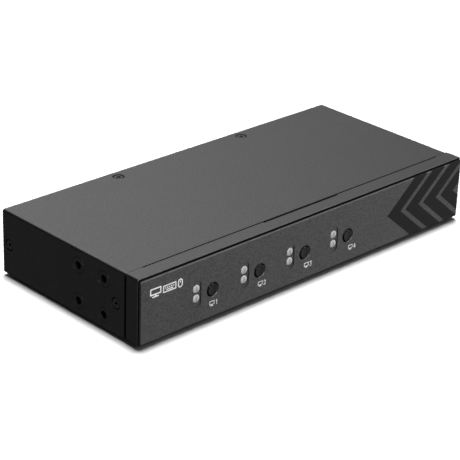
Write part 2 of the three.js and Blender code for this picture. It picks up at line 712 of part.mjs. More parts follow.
function usbBPort(name, x) {
  const { width, height, depth, mouthWidth, mouthHeight, pocket } = USB_B_PORT;
  const z0 = portZ + (height - mouthHeight) / 2;
  const z1 = z0 + mouthHeight;
  const half = mouthWidth / 2;
  const notch = 1.7;
  const shell = block([x - width / 2, x + width / 2], [mouthY - depth, mouthY], [portZ, portZ + height]);
  const mouth = polygon([
    [x - half, z0],
    [x + half, z0],
    [x + half, z1 - notch],
    [x + half - notch, z1],
    [x - half + notch, z1],
    [x - half, z1 - notch],
  ]);
  const hollow = slabXZ(mouth, mouthY - pocket, mouthY + 1);
  const midZ = portZ + height / 2;
  const tongue = block([x - 2.8, x + 2.8], [mouthY - pocket - 1, mouthY - 1.0], [midZ - 1.6, midZ + 1.6]);
  return meshOf(name, FINISH.portShell, carved(asSolid(shell), [hollow]).add(asSolid(tongue)));
}

function usbAStack(name, x) {
  const { width, height, depth, mouthWidth, mouthHeight, pocket } = USB_A_PORT;
  const shell = block([x - width / 2, x + width / 2], [mouthY - depth, mouthY], [portZ, portZ + height]);
  const levels = [4.1, 11.7].map((rise) => portZ + rise);
  const across = [x - mouthWidth / 2, x + mouthWidth / 2];
  const hollows = levels.map((z) =>
    block(across, [mouthY - pocket, mouthY + 1], [z - mouthHeight / 2, z + mouthHeight / 2])
  );
  const tongues = levels.map((z) =>
    block([x - 5.55, x + 5.55], [mouthY - pocket - 1, mouthY - 0.8], [z + 0.15, z + 1.95])
  );
  const body = tongues.reduce((rest, tongue) => rest.add(asSolid(tongue)), carved(asSolid(shell), hollows));
  return meshOf(name, FINISH.portShell, body);
}

function audioJacks() {
  const { width, height, depth, barrel, bore, spacing } = AUDIO_PORT;
  const x = CONSOLE.audioX;
  const faceY = rearY - CASE.sheet - GAP;
  const midZ = portZ + height / 2;
  const housing = block([x - width / 2, x + width / 2], [mouthY - depth, faceY], [portZ, portZ + height]);
  const centres = [-spacing / 2, spacing / 2].map((offset) => at(x + offset, mouthY, midZ));
  const barrels = centres.map((centre) => rod(barrel, -4, 0, ROUND.medium, BACK, centre));
  const bores = centres.map((centre) => rod(bore, -depth + 1.5, 1, ROUND.small, BACK, centre));
  return meshOf("audio_jacks", FINISH.blackPlastic, carved(joined([housing, ...barrels]), bores));
}

function powerInlet() {
  const { width, height, depth, bore, pin, pocket } = POWER_PORT;
  const x = CONSOLE.powerX;
  const centre = at(x, mouthY, portZ + height / 2 + 0.6);
  const housing = block([x - width / 2, x + width / 2], [mouthY - depth, mouthY], [portZ, portZ + height]);
  const hollow = rod(bore, -pocket, 1, ROUND.medium, BACK, centre);
  const pinRod = rod(pin, -pocket - 1, -1.5, ROUND.small, BACK, centre);
  const body = carved(asSolid(housing), [hollow]).add(asSolid(pinRod));
  return meshOf("power_inlet", FINISH.blackPlastic, body);
}

function rectCutout(x, { width, height }) {
  const half = width / 2 + PORT.rim;
  return block([x - half, x + half], [rearY - 3, rearY + 1], [portZ - PORT.rim, portZ + height + PORT.rim]);
}

function portCutouts() {
  const videoXs = [CONSOLE.videoX, ...computerPorts.map(({ videoX }) => videoX)];
  const audioZ = portZ + AUDIO_PORT.height / 2;
  return [
    ...videoXs.map((x) => slabXZ(videoOutline(x, VIDEO_PORT, PORT.rim), rearY - 3, rearY + 1)),
    ...computerPorts.map(({ usbX }) => rectCutout(usbX, USB_B_PORT)),
    rectCutout(CONSOLE.hubX, USB_A_PORT),
    rectCutout(CONSOLE.deskX, USB_A_PORT),
    rectCutout(CONSOLE.powerX, POWER_PORT),
    ...[-1, 1].map((side) => {
      const centre = at(CONSOLE.audioX + (side * AUDIO_PORT.spacing) / 2, rearY, audioZ);
      return rod(AUDIO_PORT.barrel + PORT.rim, -3, 1, ROUND.medium, BACK, centre);
    }),
  ];
}

function rearPorts() {
  return [
    videoPort("console_video_port", CONSOLE.videoX),
    ...computerPorts.map(({ number, videoX }) => videoPort(`computer_video_port_${number}`, videoX)),
    ...computerPorts.map(({ number, usbX }) => usbBPort(`computer_usb_port_${number}`, usbX)),
    usbAStack("keyboard_mouse_ports", CONSOLE.deskX),
    usbAStack("usb_hub_ports", CONSOLE.hubX),
    audioJacks(),
    powerInlet(),
  ];
}

// ---------------------------------------------------------------------------------------------
// Feet and the whole
// ---------------------------------------------------------------------------------------------

function feet() {
  const footX = CASE.width / 2 - FOOT.sideInset;
  const profile = [
    [0, 0],
    [FOOT.radius - 0.5, 0],
    [FOOT.radius, 0.6],
    [FOOT.radius, FOOT.height - SHIM / 2],
    [0, FOOT.height - SHIM / 2],
  ];
  const footYs = [frontY + FOOT.frontInset, rearY - FOOT.rearInset];
  const places = [-footX, footX].flatMap((x) => footYs.map((y) => at(x, y, 0)));
  return places.map((place, i) =>
    meshOf(`foot_${i + 1}`, FINISH.rubber, asSolid(turned(profile, ROUND.medium, UP, place)))
  );
}

const kvmSwitch = new THREE.Group();
kvmSwitch.add(
  baseChassis(),
  topCover(),
  frontBezel(),
  frontPanel(),
  ...frontControls(),
  frontBoard(),
  mainBoard(),
  ...ribbonParts(),
  ...switchChip(),
  ...rearPorts(),
  ...screws(),
  ...feet()
);

export default kvmSwitch;
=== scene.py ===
"""The looks of a four-computer KVM switch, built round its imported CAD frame.

Shapes are worked out in millimetres in the frame's own axes (+X right, front faces -Y, +Z up) and
become Blender metres when a mesh is made.
"""

import math

import bmesh
import bpy
from mathutils import Matrix, Vector


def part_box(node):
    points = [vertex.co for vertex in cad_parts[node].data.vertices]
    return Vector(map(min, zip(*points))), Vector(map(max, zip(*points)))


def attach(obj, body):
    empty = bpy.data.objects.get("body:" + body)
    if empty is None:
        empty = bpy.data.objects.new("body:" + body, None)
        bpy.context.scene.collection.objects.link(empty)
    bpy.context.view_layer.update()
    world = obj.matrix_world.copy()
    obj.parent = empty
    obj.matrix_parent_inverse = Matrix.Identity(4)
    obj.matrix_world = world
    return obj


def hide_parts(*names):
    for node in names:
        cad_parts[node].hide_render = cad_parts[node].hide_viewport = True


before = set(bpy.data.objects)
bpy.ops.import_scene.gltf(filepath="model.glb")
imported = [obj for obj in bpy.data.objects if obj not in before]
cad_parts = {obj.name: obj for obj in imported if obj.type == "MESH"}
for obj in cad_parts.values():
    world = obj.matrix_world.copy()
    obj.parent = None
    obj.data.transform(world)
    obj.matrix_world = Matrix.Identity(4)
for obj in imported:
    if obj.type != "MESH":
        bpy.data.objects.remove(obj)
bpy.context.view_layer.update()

MM = 0.001
CASE = "case"
CHANNELS = (1, 2, 3, 4)

LEFT, RIGHT = Vector((-1, 0, 0)), Vector((1, 0, 0))
BACK, UP = Vector((0, 1, 0)), Vector((0, 0, 1))

# ------------------------------------------------------------------------------------------------
# Places read from the CAD frame, in millimetres
# ------------------------------------------------------------------------------------------------


def extent(node):
    low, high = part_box(node)
    return low / MM, high / MM


def centre(node):
    low, high = extent(node)
    return (low + high) / 2


PLATE_LOW, PLATE_HIGH = extent("front_panel")
BEZEL_LOW, BEZEL_HIGH = extent("front_bezel")
COVER_LOW, COVER_HIGH = extent("top_cover")
FRONT_Y = PLATE_LOW.y
REAR_Y = COVER_HIGH.y
BOTTOM_Z = COVER_LOW.z
TOP_Z = COVER_HIGH.z

SHEET = 1.2
BEND = 1.6

# ------------------------------------------------------------------------------------------------
# Camera, light and floor
# ------------------------------------------------------------------------------------------------

CAMERA = {
    "aim": Vector((-8.05, 1.25, 13.21)),
    "azimuth": -44.316,
    "elevation": 25.119,
    "roll": 1.958,
    "distance": 1148.6,
    "lens": 138.45,
    "sensor": 36.0,
}


def place_camera():
    azimuth = math.radians(CAMERA["azimuth"])
    elevation = math.radians(CAMERA["elevation"])
    flat = math.cos(elevation)
    back = Vector((math.sin(azimuth) * flat, -math.cos(azimuth) * flat, math.sin(elevation)))
    lens = bpy.data.cameras.new("camera")
    lens.lens = CAMERA["lens"]
    lens.sensor_width = CAMERA["sensor"]
    lens.clip_start = 0.05
    lens.clip_end = 20.0
    camera = bpy.data.objects.new("camera", lens)
    upright = (-back).to_track_quat("-Z", "Y").to_matrix().to_4x4()
    rolled = upright @ Matrix.Rotation(math.radians(CAMERA["roll"]), 4, "Z")
    position = (CAMERA["aim"] + back * CAMERA["distance"]) * MM
    camera.matrix_world = Matrix.Translation(position) @ rolled
    bpy.context.scene.collection.objects.link(camera)
    bpy.context.scene.camera = camera


def area_light(name, position, size, power):
    """A rectangular softbox aimed at the object."""
    data = bpy.data.lights.new(name, "AREA")
    data.shape = "RECTANGLE"
    data.size, data.size_y = size
    data.energy = power
    light = bpy.data.objects.new(name, data)
    facing = (-Vector(position)).to_track_quat("-Z", "Y").to_matrix().to_4x4()
    light.matrix_world = Matrix.Translation(position) @ facing
    bpy.context.scene.collection.objects.link(light)
    return light


def studio_world():
    """The surroundings that the satin black paint mirrors: white card to the right, both low and
    behind, and black card to the left, overhead and underneath."""
    world = bpy.data.worlds.new("studio")
    bpy.context.scene.world = world
    world.use_nodes = True
    tree = world.node_tree
    tree.nodes.clear()

    def add(kind, inputs, output=0, **settings):
        node = tree.nodes.new(kind)
        for key, value in settings.items():
            setattr(node, key, value)
        for key, value in inputs.items():
            if isinstance(value, bpy.types.NodeSocket):
                tree.links.new(value, node.inputs[key])
            else:
                node.inputs[key].default_value = value
        return node.outputs[output]

    def ramp(value, start, end, low, high):
        inputs = {"Value": value, "From Min": start, "From Max": end, "To Min": low, "To Max": high}
        return add("ShaderNodeMapRange", inputs, interpolation_type="SMOOTHSTEP")

    def times(a, b):
        return add("ShaderNodeMath", {0: a, 1: b}, operation="MULTIPLY")

    def plus(a, b):
        return add("ShaderNodeMath", {0: a, 1: b}, operation="ADD")

    direction = add("ShaderNodeTexCoord", {}, "Generated")
    split = tree.nodes.new("ShaderNodeSeparateXYZ")
    tree.links.new(direction, split.inputs[0])
    across, _, height = split.outputs
    to_the_right = ramp(across, -0.20, 0.12, 0.0, 1.0)
    far_right = ramp(across, 0.05, 0.38, 0.0, 1.0)
    above = ramp(height, -0.15, 0.10, 0.0, 1.0)
    below = ramp(height, -0.15, 0.10, 1.0, 0.0)
    back_card = times(ramp(across, 0.47, 0.80, 1.52, 0.0), ramp(height, 0.31, 0.54, 0.20, 2.45))
    overhead = ramp(height, 0.70, 0.92, 1.0, 0.15)
    underneath = ramp(height, -0.72, -0.52, 0.0, 1.0)
    behind = times(times(times(back_card, overhead), above), far_right)
    low_down = times(times(below, 0.86), to_the_right)
    black_card = ramp(height, -0.35, 0.05, 0.14, 0.01)
    level = times(plus(plus(behind, low_down), black_card), underneath)
    lit = add("ShaderNodeBackground", {"Color": (1, 1, 1, 1), "Strength": level})
    seen = add("ShaderNodeBackground", {"Color": (1, 1, 1, 1), "Strength": 1.0})
    rays = add("ShaderNodeLightPath", {}, "Is Camera Ray")
    mix = add("ShaderNodeMixShader", {0: rays, 1: lit, 2: seen})
    tree.links.new(mix, tree.nodes.new("ShaderNodeOutputWorld").inputs["Surface"])


def studio_floor():
    """White paper with lamps of its own, so that its brightness leaves the object alone."""
    bm = bmesh.new()
    bmesh.ops.create_grid(bm, x_segments=1, y_segments=1, size=2.5)
    mesh = bpy.data.meshes.new("floor")
    bm.to_mesh(mesh)
    bm.free()
    floor = bpy.data.objects.new("floor", mesh)
    bpy.context.scene.collection.objects.link(floor)
    floor.visible_diffuse = False
    floor.visible_glossy = False
    paper = bpy.data.materials.new("floor_paper")
    paper.use_nodes = True
    shader = paper.node_tree.nodes["Principled BSDF"]
    shader.inputs["Base Color"].default_value = (0.16, 0.16, 0.16, 1)
    shader.inputs["Roughness"].default_value = 1.0
    shader.inputs["Specular IOR Level"].default_value = 0.0
    mesh.materials.append(paper)
    sun = bpy.data.lights.new("floor_lamp", "SUN")
    sun.energy = 27.0
    sun.angle = math.radians(13.0)
    lamp = bpy.data.objects.new("floor_lamp", sun)
    lamp.matrix_world = Vector((0.080, 0.084, 1)).to_track_quat("Z", "Y").to_matrix().to_4x4()
    bpy.context.scene.collection.objects.link(lamp)
    floor_only = bpy.data.collections.new("floor_only")
    floor_only.objects.link(floor)
    lamp.light_linking.receiver_collection = floor_only
    fill = area_light("floor_fill", (-0.60, -0.90, 0.70), (0.80, 0.80), 3.0)
    fill.light_linking.receiver_collection = floor_only
    return floor


def light_studio():
    bpy.context.scene.view_settings.view_transform = "Standard"
    studio_world()
    floor = studio_floor()
    softboxes = [
        area_light("key_softbox", (0.78, -0.86, 0.98), (0.95, 0.95), 17.0),
        area_light("fill_softbox", (-0.50, -1.10, 0.85), (0.45, 0.45), 18.0),
    ]
    object_only = bpy.data.collections.new("object_only")
    object_only.objects.link(floor)
    object_only.collection_objects[0].light_linking.link_state = "EXCLUDE"
    for softbox in softboxes:
        softbox.light_linking.receiver_collection = object_only


# ------------------------------------------------------------------------------------------------
# Closed shapes, in millimetres
# ------------------------------------------------------------------------------------------------


def arc(x, z, radius, start, end, steps):
    """Points on an arc, angles in degrees from +X towards +Z."""
    angles = [math.radians(start + (end - start) * i / steps) for i in range(steps + 1)]
    return [(x + radius * math.cos(a), z + radius * math.sin(a)) for a in angles]


def rounded(x0, x1, z0, z1, radius, steps=8):
    return (
        arc(x1 - radius, z1 - radius, radius, 0, 90, steps)
        + arc(x0 + radius, z1 - radius, radius, 90, 180, steps)
        + arc(x0 + radius, z0 + radius, radius, 180, 270, steps)
        + arc(x1 - radius, z0 + radius, radius, 270, 360, steps)
    )


def obround(x, z, width, height, steps=24):
    radius = width / 2
    reach = height / 2 - radius
    return arc(x, z + reach, radius, 0, 180, steps) + arc(x, z - reach, radius, 180, 360, steps)


def rectangle(x0, x1, z0, z1):
    return [(x1, z1), (x0, z1), (x0, z0), (x1, z0)]


def skinned(rings):
    """A closed mesh through rings of the same count; a ring of one point is a pole."""
    bm = bmesh.new()
    levels = [[bm.verts.new(point) for point in ring] for ring in rings]
    for a, b in zip(levels, levels[1:]):
        count = max(len(a), len(b))
        for i in range(count):
            j = (i + 1) % count
            corners = (a[i % len(a)], a[j % len(a)], b[j % len(b)], b[i % len(b)])
            bm.faces.new(list(dict.fromkeys(corners)))
    for end in (levels[0], levels[-1]):
        if len(end) > 2:
            bm.faces.new(end)
    bmesh.ops.recalc_face_normals(bm, faces=bm.faces)
    return bm


def lofted(levels):
    """A solid through (outline in X and Z, y) pairs from front to back."""
    return skinned([[(x, y, z) for x, z in outline] for outline, y in levels])


def prism(outline, y0, y1):
    return lofted([(outline, y0), (outline, y1)])


def block(x0, x1, y0, y1, z0, z1):
    return prism(rectangle(x0, x1, z0, z1), y0, y1)


def stood(bm, direction, place):
    """Turns a shape drawn along +Z to face `direction`, and stands its origin at `place`."""
    turn = UP.rotation_difference(direction).to_matrix().to_4x4()
    bmesh.ops.transform(bm, matrix=Matrix.Translation(place) @ turn, verts=bm.verts)
    return bm


def turned(profile, direction, place, segments=48):
    """A turned solid: (radius, height) points from the axis back to the axis."""
    rings = []
    for radius, height in profile:
        angles = [2 * math.pi * i / segments for i in range(segments if radius else 1)]
        rings.append([(radius * math.cos(a), radius * math.sin(a), height) for a in angles])
    return stood(skinned(rings), direction, place)


def turned_ring(profile, direction, place, segments=48):
    """A turned ring: a closed (radius, height) profile that stays clear of the axis."""
    bm = bmesh.new()
    rings = []
    for i in range(segments):
        a = 2 * math.pi * i / segments
        rings.append([bm.verts.new((r * math.cos(a), r * math.sin(a), h)) for r, h in profile])
    for i, ring in enumerate(rings):
        following = rings[(i + 1) % segments]
        for k in range(len(profile)):
            n = (k + 1) % len(profile)
            bm.faces.new((ring[k], ring[n], following[n], following[k]))
    bmesh.ops.recalc_face_normals(bm, faces=bm.faces)
    return stood(bm, direction, place)


def rod(radius, start, end, direction, place, segments=48):
    return turned([(0, start), (radius, start), (radius, end), (0, end)], direction, place, segments)


def quarter_round(radius, steps=5):
    """(inset, depth) pairs from a front face round to its side."""
    angles = [math.pi / 2 * i / steps for i in range(steps + 1)]
    return [(radius * (1 - math.sin(a)), radius * (1 - math.cos(a))) for a in angles]


def merged(shapes):
    whole = bmesh.new()
    for shape in shapes:
        loose = bpy.data.meshes.new("loose")
        shape.to_mesh(loose)
        shape.free()
        whole.from_mesh(loose)
        bpy.data.meshes.remove(loose)
    return whole


def boolean(body, tools, operation="DIFFERENCE"):
    """Cuts the tools out of the body, or with UNION joins them to it."""
    pair = []
    for name, bm in (("boolean_body", body), ("boolean_tool", merged(tools))):
        mesh = bpy.data.meshes.new(name)
        bm.to_mesh(mesh)
        bm.free()
        pair.append(bpy.data.objects.new(name, mesh))
        bpy.context.scene.collection.objects.link(pair[-1])
    target, tool = pair
    step = target.modifiers.new("boolean", "BOOLEAN")
    step.operation = operation
    step.solver = "EXACT"
    step.use_self = True
    step.object = tool
    evaluated = target.evaluated_get(bpy.context.evaluated_depsgraph_get())
    result = bmesh.new()
    result.from_mesh(evaluated.to_mesh())
    evaluated.to_mesh_clear()
    for leftover in pair:
        mesh = leftover.data
        bpy.data.objects.remove(leftover)
        bpy.data.meshes.remove(mesh)
    bmesh.ops.remove_doubles(result, verts=result.verts, dist=2e-4)
    bmesh.ops.dissolve_degenerate(result, edges=result.edges, dist=2e-4)
    return result


def cad_copy(node):
    """The CAD node's mesh in millimetres, its flat faces whole again."""
    bm = bmesh.new()
    bm.from_mesh(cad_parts[node].data)
    bmesh.ops.scale(bm, vec=(1 / MM,) * 3, verts=bm.verts)
    bmesh.ops.remove_doubles(bm, verts=bm.verts, dist=2e-3)
    bmesh.ops.dissolve_limit(bm, angle_limit=math.radians(0.5), verts=bm.verts, edges=bm.edges)
    return bm


def piece(name, bm, material, body=CASE, replaces=(), bevel=0.0, smooth=32, steps=2):
    """Makes a piece of a shape in millimetres; it rides on a CAD body."""
    bmesh.ops.scale(bm, vec=(MM,) * 3, verts=bm.verts)
    mesh = bpy.data.meshes.new(name)
    bm.to_mesh(mesh)
    bm.free()
    mesh.shade_smooth()
    mesh.set_sharp_from_angle(angle=math.radians(smooth))
    mesh.materials.append(material)
    obj = bpy.data.objects.new(name, mesh)
    bpy.context.scene.collection.objects.link(obj)
    if bevel:
        edge = obj.modifiers.new("edge", "BEVEL")
        edge.width = bevel * MM
        edge.segments = steps
        edge.limit_method = "ANGLE"
        edge.angle_limit = math.radians(smooth)
    flatten = obj.modifiers.new("flatten", "WEIGHTED_NORMAL")
    flatten.keep_sharp = True
    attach(obj, body)
    if replaces:
        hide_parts(*replaces)
    return obj


# ------------------------------------------------------------------------------------------------
# Materials
# ------------------------------------------------------------------------------------------------


class Finish:
    """A Principled material whose inputs take numbers, colours or procedural node outputs."""

    SOCKETS = {
        "base": "Base Color",
        "roughness": "Roughness",
        "metallic": "Metallic",
        "specular": "Specular IOR Level",
        "coat": "Coat Weight",
        "coat_roughness": "Coat Roughness",
        "scatter": "Subsurface Weight",
        "scatter_scale": "Subsurface Scale",
        "glow": "Emission Strength",
        "glow_colour": "Emission Color",
    }

    def __init__(self, name, **values):
        self.material = bpy.data.materials.new(name)
        self.material.use_nodes = True
        self.tree = self.material.node_tree
        self.shader = self.tree.nodes["Principled BSDF"]
        self.place = self.tree.nodes.new("ShaderNodeTexCoord").outputs["Object"]
        self.set(**values)

    def set(self, **values):
        for key, value in values.items():
            self.join(value, self.shader.inputs[self.SOCKETS[key]])
        return self

    def join(self, value, target):
        if isinstance(value, bpy.types.NodeSocket):
            self.tree.links.new(value, target)
        elif isinstance(value, tuple) and target.type == "RGBA":
            target.default_value = (*value, 1)
        else:
            target.default_value = value

    def node(self, kind, inputs, output=0, **settings):
        made = self.tree.nodes.new(kind)
        for key, value in settings.items():
            setattr(made, key, value)
        for socket, value in inputs.items():
            self.join(value, made.inputs[socket])
        return made.outputs[output]

    def noise(self, size, detail=2.0, stretch=None):
        """Noise with features about `size` millimetres across."""
        where = self.place
        if stretch:
            where = self.node("ShaderNodeMapping", {"Vector": self.place, "Scale": stretch})
        inputs = {"Vector": where, "Scale": 1 / (size * MM), "Detail": detail}
        return self.node("ShaderNodeTexNoise", inputs)

    def remap(self, value, low, high, new_low, new_high):
        inputs = {"Value": value, "From Min": low, "From Max": high, "To Min": new_low, "To Max": new_high}
        return self.node("ShaderNodeMapRange", inputs)

    def math(self, operation, a, b):
        return self.node("ShaderNodeMath", {0: a, 1: b}, operation=operation)

    def blend(self, amount, a, b):
        return self.node("ShaderNodeMix", {0: amount, 6: a, 7: b}, 2, data_type="RGBA")

    def bump(self, height, depth, strength=1.0):
        inputs = {"Height": height, "Distance": depth * MM, "Strength": strength}
        self.join(self.node("ShaderNodeBump", inputs), self.shader.inputs["Normal"])
        return self


def grey(level, warmth=0.0):
    return (level * (1 + warmth), level, level * (1 - warmth))


def powder_coat(name, level, grain, contrast, roughness, depth):
    """Baked textured paint: rounded grains with a speckle of shade, and a faint broad mottle."""
    finish = Finish(name, specular=0.5)
    grains = finish.noise(grain, 3.0)
    cloud = finish.noise(30.0, 2.0)
    shade = finish.math(
        "ADD",
        finish.remap(grains, 0.35, 0.65, 0.5 - contrast, 0.5 + contrast),
        finish.remap(cloud, 0.3, 0.7, -0.06, 0.06),
    )
    finish.set(base=finish.blend(shade, grey(level * 0.1), grey(level * 1.9)))
    finish.set(roughness=finish.remap(grains, 0.3, 0.7, roughness + 0.07, roughness - 0.07))
    return finish.bump(grains, depth, 0.6).material


def moulded(name, colour, roughness, grain=0.25, depth=0.01, **values):
    """Moulded plastic or rubber with a fine spark-eroded grain."""
    finish = Finish(name, **values)
    grains = finish.noise(grain, 2.0)
    cloud = finish.noise(9.0, 2.0)
    dark = tuple(0.82 * c for c in colour)
    light = tuple(1.18 * c for c in colour)
    finish.set(base=finish.blend(finish.remap(cloud, 0.3, 0.7, 0.0, 1.0), dark, light))
    finish.set(roughness=finish.remap(grains, 0.3, 0.7, roughness - 0.06, roughness + 0.06))
    return finish.bump(grains, depth, 0.5).material


def metal(name, colour, roughness, stretch=(1, 1, 1), grain=0.6, depth=0.004):
    """Bare or plated metal with faint directional wear."""
    finish = Finish(name, metallic=1.0)
    wear = finish.noise(grain, 3.0, stretch)
    dark = tuple(0.80 * c for c in colour)
    finish.set(base=finish.blend(finish.remap(wear, 0.3, 0.7, 0.0, 1.0), dark, colour))
    finish.set(roughness=finish.remap(wear, 0.3, 0.7, roughness - 0.07, roughness + 0.10))
    return finish.bump(wear, depth, 0.4).material


def laminate():
    """Green solder mask over copper pours."""
    finish = Finish("board_solder_mask", specular=0.5, coat=0.3, coat_roughness=0.25, roughness=0.35)
    cells = {"Vector": finish.place, "Scale": 220.0}
    tracks = finish.node("ShaderNodeTexVoronoi", cells, "Distance", distance="CHEBYCHEV")
    pour = finish.remap(tracks, 0.28, 0.34, 0.0, 1.0)
    finish.set(base=finish.blend(pour, (0.006, 0.045, 0.020), (0.012, 0.085, 0.036)))
    return finish.bump(pour, 0.02, 0.5).material


def lens_with_painted_rim_light():
    """Frosted light pipe whose colour is lighter towards its rim and darker in the middle: a painted
    highlight round the dome's rim and painted shade in its middle.
    """
    finish = Finish("lamp_lens_painted_rim_light", roughness=0.28, specular=0.5)
    across = finish.node("ShaderNodeTexCoord", {}, "Generated")
    placing = {"Vector": across, "Location": (-1.1, -0.5, -0.55), "Scale": (2.2, 1.0, 1.1)}
    centred = finish.node("ShaderNodeMapping", placing)
    flattened = finish.node("ShaderNodeVectorMath", {0: centred, 1: (1, 0, 1)}, operation="MULTIPLY")
    radius = finish.node("ShaderNodeVectorMath", {0: flattened}, 1, operation="LENGTH")
    haze = finish.noise(0.8, 3.0)
    edge = finish.math("ADD", radius, finish.remap(haze, 0.3, 0.7, -0.10, 0.10))
    # Painted light: lighter towards the rim as a painted highlight, darker in the middle as painted shade.
    rim = finish.remap(edge, 0.08, 0.62, 0.0, 1.0)
    finish.set(base=finish.blend(rim, (0.15, 0.15, 0.15), (0.32, 0.32, 0.325)))
    return finish.bump(haze, 0.01, 0.4).material


def make_materials():
    return {
        "case": powder_coat("case_powder_coat", 0.012, 0.60, 0.60, 0.42, 0.018),
        "plate": powder_coat("plate_textured_lacquer", 0.016, 0.50, 0.80, 0.44, 0.025),
        "bezel": powder_coat("bezel_moulded_texture", 0.012, 0.40, 0.35, 0.42, 0.010),
        "button": moulded("button_satin_black", (0.002, 0.002, 0.002), 0.27, specular=0.14),
        "black": moulded("port_black_plastic", (0.012, 0.012, 0.013), 0.42),
        "lens": lens_with_painted_rim_light(),
        "mask": laminate(),
        "shell": metal("port_nickel_shell", (0.72, 0.71, 0.69), 0.26, (1, 6, 1)),
        "edge": metal("hole_edge_metal", (0.055, 0.055, 0.057), 0.38),
        "gold": metal("contact_gold_plate", (0.95, 0.66, 0.28), 0.22),
        "dark_screw": moulded("screw_black_oxide", (0.048, 0.048, 0.050), 0.50, specular=0.15),
        "bright_screw": metal("screw_bright_zinc", (0.66, 0.67, 0.68), 0.30),
        "alloy": metal("heatsink_anodised", (0.28, 0.29, 0.30), 0.42, (6, 1, 1)),
        "ribbon": moulded("ribbon_grey_vinyl", (0.30, 0.31, 0.32), 0.50),
        "rubber": moulded("foot_black_rubber", (0.010, 0.010, 0.010), 0.75, 0.5, 0.03),
        # Near-black painted shade, laid in seams, screw clearances and ear holes to keep them dark.
        "painted_shade": moulded("painted_shade_black", (0.002, 0.002, 0.002), 0.95, 0.5, 0.03, specular=0.05),
        "white_ink": moulded("mark_white_ink", (0.50, 0.50, 0.50), 0.55, 0.3, 0.003),
        "dark_ink": moulded("band_dark_ink", (0.003, 0.003, 0.003), 0.42, 0.4, 0.006, specular=0.10),
        "tongue": moulded("port_tongue_plastic", (0.016, 0.016, 0.017), 0.40),
    }


place_camera()
light_studio()
finishes = make_materials()

# ------------------------------------------------------------------------------------------------
# Fasteners
# ------------------------------------------------------------------------------------------------

HEAD_RADIUS = 3.15
SHANK_RADIUS = 1.5
HOLE_CLEARANCE = 0.75
HEAD_SUNK = 0.16


def head_place(node, direction):
    """The middle of the end that a screw turns to `direction`."""
    low, high = extent(node)
    reach = direction * (high - low).dot(Vector(map(abs, direction))) / 2
    return (low + high) / 2 + reach


def countersunk_profile(grow=0.0, sunk=0.0, rim=0.0):
    neck = 0.25
    shoulder = HEAD_RADIUS + grow
    shank = SHANK_RADIUS + grow
    cone = HEAD_RADIUS - SHANK_RADIUS
    top = grow - sunk
    return [
        (0, top),
        (shoulder - rim, top),
        (shoulder, top - rim),
        (shoulder, -neck - sunk),
        (shank, -neck - cone - sunk),
        (shank, -6.0 - grow),
        (0, -6.0 - grow),
    ]


def cross_recess(direction, place, arm, width, depth):
    """Two tapered slots across each other, cut down from height 0 of a screw head."""
    slots = []
    for spin in (0, 90):
        level = [(arm / 2 + 0.05, width / 2 + 0.05, 0.1), (arm / 2, width / 2, 0.0)]
        level.append((arm * 0.24, width * 0.30, -depth))
        rings = [[(x, y, h), (-x, y, h), (-x, -y, h), (x, -y, h)] for x, y, h in level]
        slot = skinned(rings)
        bmesh.ops.rotate(slot, matrix=Matrix.Rotation(math.radians(spin), 3, "Z"), verts=slot.verts)
        slots.append(stood(slot, direction, place))
    return slots


def spun_recess(direction, place, turn, sunk, arm, width, depth):
    """A cross recess `sunk` below the place of its screw, turned about the screw's axis."""
    spin = Matrix.Rotation(math.radians(turn), 4, direction)
    about = Matrix.Translation(place) @ spin @ Matrix.Translation(-place)
    slots = cross_recess(direction, place - direction * sunk, arm, width, depth)
    for slot in slots:
        bmesh.ops.transform(slot, matrix=about, verts=slot.verts)
    return slots


def countersunk_screw(node, direction, turn=0.0):
    """A black countersunk screw, sunk a little below the sheet. The black ring round it and the black in
    the bottom of its recess are painted shade."""
    place = head_place(node, direction)
    body = turned(countersunk_profile(0.0, HEAD_SUNK, 0.12), direction, place)
    shape = boolean(body, spun_recess(direction, place, turn, HEAD_SUNK, 3.7, 1.05, 1.5))
    piece(f"{node}_head", shape, finishes["dark_screw"], replaces=[node], bevel=0.05)
    # Painted shade: a black lining in the cross recess and a black ring in the clearance round the head.
    shade = spun_recess(direction, place, turn, 0.42, 3.5, 0.98, 1.1)
    inner, outer = HEAD_RADIUS + 0.02, HEAD_RADIUS + HOLE_CLEARANCE - 0.02
    shade_ring = [(inner, -0.22), (outer, -0.22), (outer, -0.26), (inner, -0.26)]
    shade.append(turned_ring(shade_ring, direction, place))
    piece(f"{node}_shade", merged(shade), finishes["painted_shade"])
    return place


def pan_screw(node, direction):
    """A bright screw with a low domed head and a cross recess."""
    crown = head_place(node, direction)
    profile = [(0, 0), (1.5, -0.06), (2.2, -0.28), (2.62, -0.75), (2.8, -1.4), (2.8, -2.0)]
    profile += [(1.25, -2.0), (1.25, -7.0), (0, -7.0)]
    body = turned(profile, direction, crown, 40)
    shape = boolean(body, cross_recess(direction, crown, 3.2, 0.95, 1.2))
    piece(f"{node}_head", shape, finishes["bright_screw"], replaces=[node], bevel=0.04)


side_screw_sides = {1: LEFT, 2: LEFT, 3: RIGHT, 4: RIGHT}
screw_places = []
for number, turn in ((1, 20), (2, 62)):
    screw_places.append((countersunk_screw(f"top_screw_{number}", UP, turn), UP))
for number, side in side_screw_sides.items():
    screw_places.append((countersunk_screw(f"side_screw_{number}", side, 17 * number), side))
for number in (1, 2):
    pan_screw(f"bezel_screw_{number}", BACK)
for number in (1, 2, 3, 4):
    pan_screw(f"board_screw_{number}", UP)

# ------------------------------------------------------------------------------------------------
# Sheet metal
# ------------------------------------------------------------------------------------------------

EAR_HOLES = {"pitch": 23.5, "y": 44.0, "z": 20.3, "radius": 2.55, "collar": 3.8, "ring": 5.15}


def ear_hole_places():
    half = EAR_HOLES["pitch"] / 2
    middle_y = FRONT_Y + EAR_HOLES["y"]
    middle_z = BOTTOM_Z + EAR_HOLES["z"]
    return [
        (side, Vector((side.x * COVER_HIGH.x, middle_y + y, middle_z + z)))
        for side in (LEFT, RIGHT)
        for y in (-half, half)
        for z in (-half, half)
    ]


